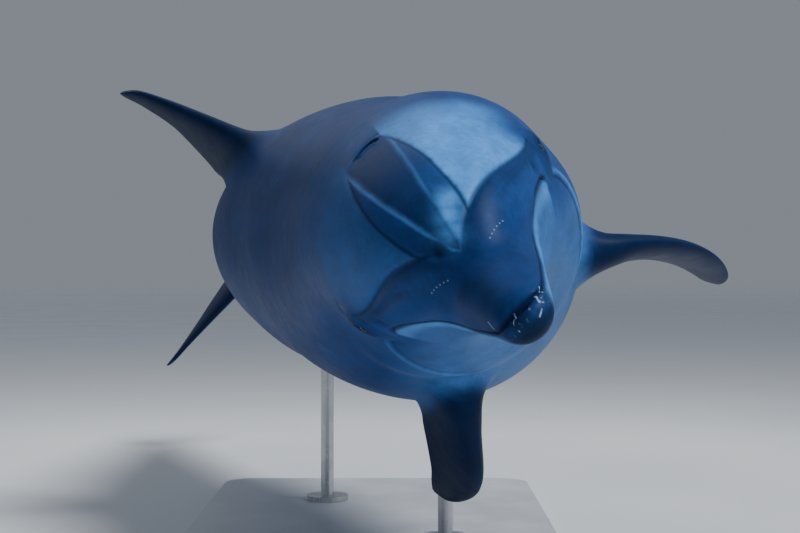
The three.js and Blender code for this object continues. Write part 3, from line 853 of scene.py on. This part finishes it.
class Shader:
    """A material's nodes, added one by one and joined as they are made."""

    def __init__(self, name):
        self.material = bpy.data.materials.new(name)
        self.material.use_nodes = True
        self.tree = self.material.node_tree
        self.surface = self.tree.nodes["Principled BSDF"]

    def add(self, kind, inputs=(), **settings):
        node = self.tree.nodes.new(kind)
        for name, value in settings.items():
            setattr(node, name, value)
        for socket, value in dict(inputs).items():
            self.feed(node.inputs[socket], value)
        return node

    def feed(self, socket, value):
        if isinstance(value, bpy.types.NodeSocket):
            self.tree.links.new(value, socket)
        else:
            socket.default_value = value

    def set(self, **values):
        for name, value in values.items():
            self.feed(self.surface.inputs[name.replace("_", " ")], value)

    def attribute(self, name, output="Fac"):
        return self.add("ShaderNodeAttribute", attribute_name=name).outputs[output]

    def math(self, operation, a, b=0.0, clamp=False):
        return self.add("ShaderNodeMath", {0: a, 1: b}, operation=operation, use_clamp=clamp).outputs[0]

    def vector(self, operation, inputs, output=0):
        return self.add("ShaderNodeVectorMath", inputs, operation=operation).outputs[output]

    def mix(self, share, a, b):
        node = self.add("ShaderNodeMix", data_type="RGBA")
        self.feed(node.inputs[0], share)
        self.feed(node.inputs[6], a)
        self.feed(node.inputs[7], b)
        return node.outputs[2]

    def noise(self, where, scale, detail=3.0, rough=0.55, output=0):
        inputs = {"Vector": where, "Scale": scale, "Detail": detail, "Roughness": rough}
        return self.add("ShaderNodeTexNoise", inputs).outputs[output]

    def between(self, value, low, high, first=0.0, last=1.0):
        inputs = {"Value": value, "From Min": low, "From Max": high, "To Min": first, "To Max": last}
        node = self.add("ShaderNodeMapRange", inputs, interpolation_type="SMOOTHSTEP")
        return node.outputs[0]

    def stripe(self, gap, middle, width):
        """1 on the line where the gap is that middle value, falling to 0 at the width on either side."""
        away = self.math("ABSOLUTE", self.math("SUBTRACT", gap, middle))
        return self.between(away, 0.0, width, 1.0, 0.0)

    def product(self, first, *others):
        for other in others:
            first = self.math("MULTIPLY", first, other)
        return first

    def highest(self, values):
        """The greatest of some values, each joined as it is made."""
        total = 0.0
        for value in values:
            total = self.math("MAXIMUM", total, value)
        return total

    def spot(self, where, centre, radius):
        """1 at a point of the straight body, in millimetres, falling to 0 at the radius."""
        inputs = {0: where, 1: tuple(v * MM for v in centre)}
        away = self.add("ShaderNodeVectorMath", inputs, operation="DISTANCE").outputs["Value"]
        return self.between(away, 0.3 * radius * MM, radius * MM, 1.0, 0.0)

    def scratch(self, where, start, end, width):
        """1 on a straight scratch between two points of the straight body, in millimetres."""
        start = np.array(start) * MM
        way = np.array(end) * MM - start
        offset = self.vector("SUBTRACT", {0: where, 1: tuple(start)})
        share = self.vector("DOT_PRODUCT", {0: offset, 1: tuple(way / (way @ way))}, "Value")
        share = self.math("MULTIPLY", share, 1.0, clamp=True)
        reached = self.vector("SCALE", {0: tuple(way), "Scale": share})
        away = self.vector("DISTANCE", {0: offset, 1: reached}, "Value")
        return self.between(away, 0.3 * width * MM, width * MM, 1.0, 0.0)

    def stretched(self, where, scale):
        return self.add("ShaderNodeMapping", {"Vector": where, "Scale": scale}).outputs[0]

    def bumps(self, height, strength, distance, under=None):
        inputs = {"Height": height, "Strength": strength, "Distance": distance}
        if under is not None:
            inputs["Normal"] = under
        return self.add("ShaderNodeBump", inputs).outputs[0]


def colour(red, green, blue):
    return (red, green, blue, 1)


# Skin colours; DEEP also paints shade and LIGHT paints highlights.
DEEP = colour(0.004, 0.013, 0.050)
BACK = colour(0.010, 0.035, 0.140)
FLANK = colour(0.014, 0.060, 0.225)
BELLY = colour(0.055, 0.175, 0.450)
LIGHT = colour(0.115, 0.400, 0.960)
SCRATCH = colour(0.48, 0.70, 0.92)

# Bristle pits beside the melon's foot, on both sides: how many, and the row's two ends as station and
# degrees from the back.
BRISTLE_PITS = 6
BRISTLE_ROW = ((125, 45), (145, 65))
PIT_RADIUS = 1.4
# The ear's pinhole behind each eye, and the navel.
EAR = (402, 156, -30)
NAVEL = (1180, 0, -284)
# Slits of the belly: start and end.
BELLY_SLITS = [((1560, 0, -241), (1660, 0, -222)), ((1715, 0, -209), (1735, 0, -205))]
# Scratches on the tips of the jaws: start and end as station and degrees from the back, and half width.
JAW_SCRATCHES = [
    ((13, -27), (8, -62), 0.9),
    ((8, -62), (4, -95), 0.9),
    ((16, 70), (10, 82), 1.5),
    ((5, 96), (2, 112), 1.3),
    ((28, 78), (21, 83), 1.4),
    ((42, -66), (30, -76), 0.9),
]
# Sets of rake marks left by other dolphins' teeth: first station and angle, length, turn, count and gap.
RAKES = [
    (500, 62, 70, -14, 3, 8),
    (760, 74, 95, 22, 4, 9),
    (820, -66, 80, -30, 4, 8),
    (1090, 52, 60, 40, 3, 9),
    (1340, -80, 90, 12, 4, 9),
    (1480, 70, 70, -25, 3, 8),
    (690, -96, 60, 35, 3, 8),
]


def on_skin(station, degrees):
    """A point of the straight skin."""
    return surface(np.array([float(station)]), np.radians([float(degrees)]))[0]


def rake_lines():
    """Start and end of each rake mark on the straight skin."""
    lines = []
    for station, degrees, length, turn, count, gap in RAKES:
        along, across = math.cos(math.radians(turn)), math.sin(math.radians(turn))
        for k in range(count):
            ends = []
            for travel in (k * 3, length - k * 5):
                at = station + along * travel - across * gap * k
                lift = across * travel + along * gap * k
                ends.append(on_skin(at, degrees + lift * 0.28))
            lines.append(ends)
    return lines


def skin_material():
    s = Shader("wet_grey_skin")
    body = s.attribute("straight", "Vector")
    half = s.attribute("half", "Vector")
    cloud = s.noise(body, 9.0, 4)
    speckle = s.noise(body, 160.0, 3, 0.7)
    mottle = s.noise(body, 34.0, 5, 0.65)
    streaks = s.noise(s.stretched(body, (3.0, 26.0, 26.0)), 1.0, 4, 0.6)
    wander = s.math("MULTIPLY", s.math("SUBTRACT", cloud, 0.5), 0.7)
    wobble = s.between(mottle, 0.25, 0.75, -0.7, 0.7)
    leaf, band, crease, throat = (
        s.math("ADD", s.attribute(name + "_gap"), wobble) for name in ("leaf", "band", "crease", "throat")
    )
    mouth = s.attribute("mouth_gap")
    lips = s.attribute("lips")
    melon = s.product(s.attribute("melon"), s.between(crease, -2.0, 3.0, 1.0, 0.0))
    crease_shade = s.attribute("crease")
    throat_strength = s.attribute("throat")
    inside_leaf = s.between(leaf, -2.0, 2.5, 1.0, 0.0)
    # Painted light: the pale field on the melon's sides, strong on the lit left and faint on the shaded
    # right.
    lit_shield = s.product(
        s.attribute("lit_shield"), s.between(band, -1.5, 2.0), s.between(crease, -3.0, 2.0, 1.0, 0.0),
    )

    # Dark markings, and painted shade in the melon's and throat's creases, the mouth's groove and the
    # blowhole's slit.
    dark = s.highest((
        s.attribute("dark"),
        # Painted shade in the melon's crease, and in a band below it under the melon's overhang.
        s.product(s.stripe(crease, 0.0, 5.5), crease_shade, 0.7),
        s.product(
            s.between(crease, -1.0, 2.0), s.between(crease, 10.0, 24.0, 1.0, 0.0), crease_shade, 0.5,
        ),
        s.product(s.stripe(band, 0.0, 4.5), melon, 0.75),
        s.product(inside_leaf, melon, 0.6),
        # Painted shade in the throat crease.
        s.product(s.stripe(throat, 0.0, 5.0), throat_strength, 0.6),
        # Painted shade along the mouth's groove.
        s.product(s.stripe(mouth, 0.0, 6.5), lips),
        # Painted shade in and around the blowhole's slit.
        s.product(s.stripe(s.attribute("blowhole_gap"), 0.0, 8.0), s.attribute("blowhole")),
        s.between(s.attribute("eye_gap"), 0.8, 4.0, 1.0, 0.0),
    ))
    # Pale markings, and painted highlights on the prow, the melon's lit left side and the throat crease's
    # rim.
    pale = s.highest((
        # Painted highlight on the left of the prow.
        s.math("MULTIPLY", s.attribute("pale"), 0.9),
        s.product(lit_shield, s.between(cloud, 0.25, 0.75, 0.55, 0.8)),
        s.product(s.stripe(leaf, 0.0, 5.5), melon, 0.34),
        # Painted highlight on the throat crease's rim.
        s.product(s.stripe(throat, THROAT_RIM, 9.0), throat_strength, 0.45),
        s.product(s.stripe(mouth, -13.0, 16.0), lips, 0.5),
    ))
    pit_places = row_between(*BRISTLE_ROW, BRISTLE_PITS)
    pits = s.highest(s.spot(half, on_skin(*pit), PIT_RADIUS) for pit in pit_places)
    holes = s.highest((s.spot(half, EAR, 2.4), s.spot(body, NAVEL, 11.0)))
    slits = s.highest(s.scratch(body, start, end, 3.0) for start, end in BELLY_SLITS)
    rakes = s.highest(s.scratch(body, start, end, 1.5) for start, end in rake_lines())
    rakes = s.product(rakes, s.between(mottle, 0.38, 0.6, 0.03, 0.22))
    nicks = s.highest(
        s.scratch(body, on_skin(*start), on_skin(*end), width) for start, end, width in JAW_SCRATCHES
    )
    nicks = s.product(nicks, s.between(speckle, 0.3, 0.6, 0.15, 0.65))
    tip = s.attribute("beak_tip")
    chafed = s.product(s.stripe(mouth, -9.0, 12.0), tip, s.between(mottle, 0.35, 0.65, 0.05, 0.4))
    flecks = s.product(chafed, s.between(s.noise(body, 150.0, 4, 0.75), 0.58, 0.66))

    back = s.math("ADD", s.attribute("back"), wander, clamp=True)
    below = s.math("ADD", s.attribute("below"), s.math("MULTIPLY", wander, 0.6), clamp=True)
    tone = s.mix(back, FLANK, BACK)
    tone = s.mix(below, tone, BELLY)
    tone = s.mix(s.math("MULTIPLY", s.attribute("beak"), 0.8), tone, BACK)
    tone = s.mix(s.math("MULTIPLY", s.attribute("fin"), 0.92), tone, DEEP)
    # Pale markings, with the painted highlights among them.
    tone = s.mix(pale, tone, LIGHT)
    # Dark markings, with painted shade in the creases, slits, the notch and the hollows among them.
    tone = s.mix(s.math("MULTIPLY", dark, 0.9), tone, DEEP)
    tone = s.mix(s.math("MULTIPLY", tip, 0.95), tone, DEEP)
    tone = s.mix(chafed, tone, FLANK)
    tone = s.mix(flecks, tone, SCRATCH)
    tone = s.mix(s.math("MULTIPLY", pits, 0.4), tone, SCRATCH)
    tone = s.mix(s.math("MAXIMUM", rakes, nicks), tone, SCRATCH)
    tone = s.mix(s.math("MAXIMUM", holes, slits), tone, DEEP)
    grain = s.between(speckle, 0.3, 0.75, -0.07, 0.09)
    lift = s.math("ADD", grain, s.between(streaks, 0.3, 0.7, -0.10, 0.10))
    lift = s.math("ADD", s.between(mottle, 0.35, 0.7, -0.10, 0.12), lift)
    lift = s.math("ADD", 1.0, lift)
    varied = s.vector("SCALE", {0: tone, "Scale": lift})
    rings = s.add("ShaderNodeTexWave", {
        "Vector": body, "Scale": 95.0, "Distortion": 1.5, "Detail": 2.0, "Detail Scale": 1.2,
    }, wave_type="BANDS", bands_direction="X").outputs[1]
    fine = s.bumps(s.math("ADD", rings, s.math("MULTIPLY", speckle, 1.5)), 0.03, 0.0005)
    s.set(
        Base_Color=varied,
        Roughness=s.between(mottle, 0.2, 0.8, 0.44, 0.58),
        Normal=s.bumps(cloud, 0.15, 0.01, fine),
        Coat_Weight=0.03,
        Coat_Roughness=0.32,
        IOR=1.36,
        Specular_IOR_Level=0.13,
        Specular_Tint=colour(0.55, 0.80, 1.0),
    )
    return s.material


def eye_material():
    s = Shader("eye_surface")
    ball = s.attribute("ball", "Vector")
    apart = s.add("ShaderNodeSeparateXYZ", {0: ball})
    across, up = apart.outputs[0], apart.outputs[1]
    wide = s.math("POWER", s.math("DIVIDE", across, 0.40), 2.0)
    tall = s.math("POWER", s.math("DIVIDE", s.math("ADD", up, 0.03), 0.22), 2.0)
    pupil = s.between(s.math("ADD", wide, tall), 0.85, 1.1, 1.0, 0.0)
    round_out = s.math("SQRT", s.math("ADD", s.math("POWER", across, 2.0), s.math("POWER", up, 2.0)))
    fibres = s.noise(s.stretched(ball, (30, 30, 4)), 1.0, 4, 0.7)
    iris = s.mix(fibres, colour(0.010, 0.009, 0.011), colour(0.034, 0.026, 0.023))
    white = s.mix(s.noise(ball, 5.0, 3), colour(0.040, 0.032, 0.030), colour(0.018, 0.016, 0.018))
    tone = s.mix(s.between(round_out, 0.56, 0.66), iris, white)
    tone = s.mix(pupil, tone, colour(0.004, 0.005, 0.008))
    s.set(Base_Color=tone, Roughness=0.12, Coat_Weight=0.2, Coat_Roughness=0.04, Specular_IOR_Level=0.12)
    return s.material


def eyeball(name, side):
    """The ball of one eye; its own coordinates are back, up and out over the ball's radius."""
    bm = bmesh.new()
    bmesh.ops.create_uvsphere(bm, u_segments=EYE_SEGMENTS, v_segments=EYE_SEGMENTS // 2, radius=1)
    own = vertex_array(bm)
    swell = 1 + 0.012 * bump(np.hypot(own[:, 0], own[:, 1]), 0, 0.5) * (own[:, 2] > 0)
    ball = own * (EYE_RADIUS - 0.15) * swell[:, None]
    straight = np.column_stack([
        EYE_STATION + ball[:, 0],
        side * (EYE_SIDE + ball[:, 2]),
        EYE_LEVEL + ball[:, 1],
    ])
    move_vertices(bm, place(straight))
    bmesh.ops.recalc_face_normals(bm, faces=bm.faces)
    eye = new_object(name, bm)
    for polygon in eye.data.polygons:
        polygon.use_smooth = True
    write_attribute(eye, "ball", own)
    return eye


def paint_material():
    s = Shader("satin_grey_paint")
    where = s.add("ShaderNodeTexCoord").outputs["Object"]
    peel = s.noise(where, 380.0, 2)
    dust = s.noise(where, 6.0, 5, 0.6)
    s.set(
        Base_Color=s.mix(s.between(dust, 0.3, 0.75), colour(0.42, 0.44, 0.47), colour(0.52, 0.54, 0.56)),
        Roughness=s.between(dust, 0.3, 0.7, 0.38, 0.52),
        Normal=s.bumps(peel, 0.12, 0.0006),
    )
    return s.material


def steel_material():
    s = Shader("brushed_steel")
    where = s.add("ShaderNodeTexCoord").outputs["Object"]
    brush = s.noise(s.stretched(where, (900, 900, 12)), 1.0, 3, 0.6)
    smear = s.noise(where, 22.0, 4, 0.6)
    s.set(
        Base_Color=s.mix(brush, colour(0.46, 0.47, 0.49), colour(0.66, 0.67, 0.69)),
        Metallic=1.0,
        Roughness=s.between(s.math("ADD", smear, s.math("MULTIPLY", brush, 0.3)), 0.4, 0.9, 0.22, 0.4),
        Normal=s.bumps(brush, 0.1, 0.0004),
    )
    return s.material


# The floor's colour far off, and the light of the room all round.
FAR_FLOOR = colour(0.168, 0.184, 0.212)
ROOM_LIGHT = colour(0.80, 0.89, 1.0)
ROOM_STRENGTH = 0.28


def floor_material():
    """Pale floor that greys slowly with distance, so that it meets the room's light without a line."""
    s = Shader("pale_floor")
    where = s.add("ShaderNodeTexCoord").outputs["Object"]
    distance = s.vector("LENGTH", {0: where}, "Value")
    nearness = s.math("DIVIDE", 1.0, s.math("MAXIMUM", distance, 0.1))
    grain = s.noise(where, 1.7, 4)
    near = s.mix(grain, colour(0.60, 0.61, 0.63), colour(0.67, 0.68, 0.69))
    s.set(
        Base_Color=s.mix(s.between(nearness, 0.05, 0.6, 1.0, 0.0), near, FAR_FLOOR),
        Roughness=s.between(grain, 0.3, 0.7, 0.6, 0.75),
        Specular_IOR_Level=0.1,
        Alpha=s.between(nearness, 0.015, 0.07),
    )
    return s.material


LENS = 63
CAMERA_PLACE = (0.052, -2.505, 0.502)


def camera():
    data = bpy.data.cameras.new("camera")
    data.lens = LENS
    data.sensor_width = 36
    eye = bpy.data.objects.new("camera", data)
    eye.location = CAMERA_PLACE
    eye.rotation_euler = (math.radians(90), 0, 0)
    bpy.context.scene.collection.objects.link(eye)
    bpy.context.scene.camera = eye


def light(kind, name, towards, power, tint, **settings):
    """A lamp far off in the direction from which it shines."""
    data = bpy.data.lights.new(name, kind)
    data.energy = power
    data.color = tint
    for setting, value in settings.items():
        setattr(data, setting, value)
    lamp = bpy.data.objects.new(name, data)
    lamp.location = Vector(towards)
    lamp.rotation_euler = Vector(towards).to_track_quat("Z", "Y").to_euler()
    bpy.context.scene.collection.objects.link(lamp)


def studio():
    light("SUN", "key", (2.4, -1.3, 4.0), 3.3, (0.97, 0.985, 1.0), angle=math.radians(22))
    light("SUN", "back", (-1.6, 3.0, 3.0), 0.4, (0.90, 0.95, 1.0), angle=math.radians(40))
    world = bpy.data.worlds.new("room")
    world.use_nodes = True
    world.node_tree.nodes["Background"].inputs[0].default_value = ROOM_LIGHT
    world.node_tree.nodes["Background"].inputs[1].default_value = ROOM_STRENGTH
    bpy.context.scene.world = world
    bm = bmesh.new()
    bmesh.ops.create_circle(bm, cap_ends=True, segments=96, radius=FLOOR_RADIUS)
    floor = new_object("floor", bm)
    floor.data.materials.append(floor_material())


FLESH = (
    "lower_jaw", "upper_jaw", "head", "neck", "chest", "trunk", "tail_stock_front", "tail_stock_rear",
    "fluke_left", "fluke_right", "dorsal_fin", "flipper_left", "flipper_right",
)

camera()
studio()

skin = dolphin_skin()
skin.data.materials.append(skin_material())
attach(skin, "root")
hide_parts(*FLESH)

eye_surface = eye_material()
for eye_node, eye_side in (("eye_left", 1), ("eye_right", -1)):
    eye = eyeball(eye_node + "_ball", eye_side)
    eye.data.materials.append(eye_surface)
    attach(eye, "root")
    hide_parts(eye_node)

paint = paint_material()
steel = steel_material()
for stand_node, finish in (("stand_base", paint), ("stand_rod_front", steel), ("stand_rod_rear", steel)):
    for material_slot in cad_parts[stand_node].material_slots:
        material_slot.material = finish
